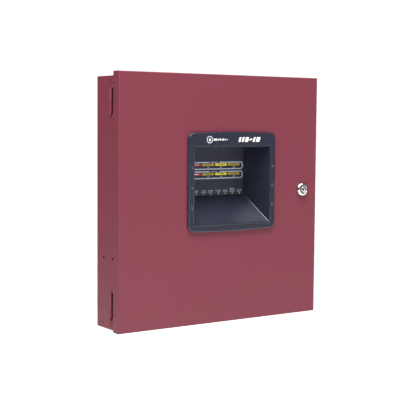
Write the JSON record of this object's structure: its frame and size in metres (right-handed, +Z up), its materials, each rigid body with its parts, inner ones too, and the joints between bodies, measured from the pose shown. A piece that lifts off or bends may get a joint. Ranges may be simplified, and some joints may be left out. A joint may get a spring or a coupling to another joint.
{
  "type": "fire alarm control panel",
  "caption": "Wall-mounted fire alarm control panel: red steel backbox and hinged pan door with recessed display bezel and cam lock, with board, supply and batteries inside.",
  "frame": {"origin": "centre of the backbox's wall face", "axes": "+X to the right seen from the front, +Y into the wall, +Z up; the door faces -Y"},
  "size_m": [0.3766, 0.0784, 0.386],
  "materials": {
    "red_enamel": "satin textured powder coat",
    "zinc_steel": "zinc plated",
    "lock_chrome": "polished",
    "bezel_plastic": "fine satin grain",
    "display_film": "printed film, semi-matte",
    "circuit_board": "solder mask",
    "black_plastic": "moulded",
    "white_nylon": "moulded",
    "relay_case": "moulded",
    "blue_sleeve": "shrink sleeve",
    "red_lens": "tinted clear",
    "yellow_lens": "tinted clear",
    "green_lens": "tinted clear",
    "brass": "turned",
    "sink_aluminium": "black anodised",
    "fuse_glass": "clear",
    "battery_case": "moulded",
    "core_steel": "varnished laminations",
    "coil_wrap": "taped winding",
    "red_insulation": "smooth",
    "black_insulation": "smooth",
    "grey_insulation": "smooth",
    "button_plastic": "moulded",
    "green_plate": "green passivated",
    "paper_label": "coated paper"
  },
  "bodies": {
    "cabinet": {"backbox": "red_enamel", "knockout_blanks": "red_enamel", "lock_strike": "red_enamel", "box_hinge_leaves": "red_enamel", "hinge_pins": "zinc_steel", "hinge_washers": "black_plastic", "chassis_plate": "zinc_steel", "chassis_studs": "zinc_steel", "chassis_nuts": "zinc_steel", "main_board": "circuit_board", "board_standoffs": "brass", "board_screws": "zinc_steel", "display_plate": "display_film", "display_spacers": "white_nylon", "display_screws": "zinc_steel", "alarm_leds": "red_lens", "yellow_leds": "yellow_lens", "power_led": "green_lens", "switch_bodies": "black_plastic", "piezo_sounder": "black_plastic", "microcontroller": "black_plastic", "relays": "relay_case", "capacitors": "blue_sleeve", "heat_sink": "sink_aluminium", "fuse_holders": "black_plastic", "fuses": "fuse_glass", "option_header": "black_plastic", "programming_jumpers": "blue_sleeve", "zone_terminal_block": "black_plastic", "zone_terminal_screws": "zinc_steel", "power_terminal_block": "black_plastic", "power_terminal_screws": "zinc_steel", "transformer_core": "core_steel", "transformer_coil": "coil_wrap", "transformer_bracket": "zinc_steel", "transformer_screws": "zinc_steel", "battery_left": "battery_case", "battery_right": "battery_case", "battery_terminals": "zinc_steel", "battery_link_lead": "grey_insulation", "battery_red_lead": "red_insulation", "battery_black_lead": "black_insulation", "battery_socket": "white_nylon", "transformer_leads": "red_insulation", "ground_stud": "zinc_steel", "ground_nut": "green_plate"},
    "door": {"door_panel": "red_enamel", "door_hinge_leaves": "red_enamel", "bezel": "bezel_plastic", "bezel_push_nuts": "zinc_steel", "lock_body": "lock_chrome", "lock_nut": "zinc_steel", "door_label": "paper_label"},
    "lock_cylinder": {"lock_plug": "lock_chrome", "lock_cam": "zinc_steel", "cam_screw": "zinc_steel"},
    "acknowledge_button": {"acknowledge_button": "button_plastic"},
    "silence_button": {"silence_button": "button_plastic"},
    "reset_button": {"reset_button": "button_plastic"},
    "drill_button": {"drill_button": "button_plastic"}
  },
  "joints": [
    {"name": "door_hinge", "type": "hinge", "parent": "cabinet", "child": "door", "pos_m": [-0.1872, -0.048, 0], "axis": [0, 0, -1], "range_deg": [0, 180]},
    {"name": "lock_turn", "type": "hinge", "parent": "door", "child": "lock_cylinder", "pos_m": [0.1562, -0.0725, 0.0132], "axis": [0, -1, 0], "range_deg": [0, 90]},
    {"name": "acknowledge_press", "type": "slide", "parent": "cabinet", "child": "acknowledge_button", "axis": [0, 1, 0], "range_m": [0, 0.001], "stiffness_N_per_m": 1500},
    {"name": "silence_press", "type": "slide", "parent": "cabinet", "child": "silence_button", "axis": [0, 1, 0], "range_m": [0, 0.001], "stiffness_N_per_m": 1500},
    {"name": "reset_press", "type": "slide", "parent": "cabinet", "child": "reset_button", "axis": [0, 1, 0], "range_m": [0, 0.001], "stiffness_N_per_m": 1500},
    {"name": "drill_press", "type": "slide", "parent": "cabinet", "child": "drill_button", "axis": [0, 1, 0], "range_m": [0, 0.001], "stiffness_N_per_m": 1500}
  ]
}
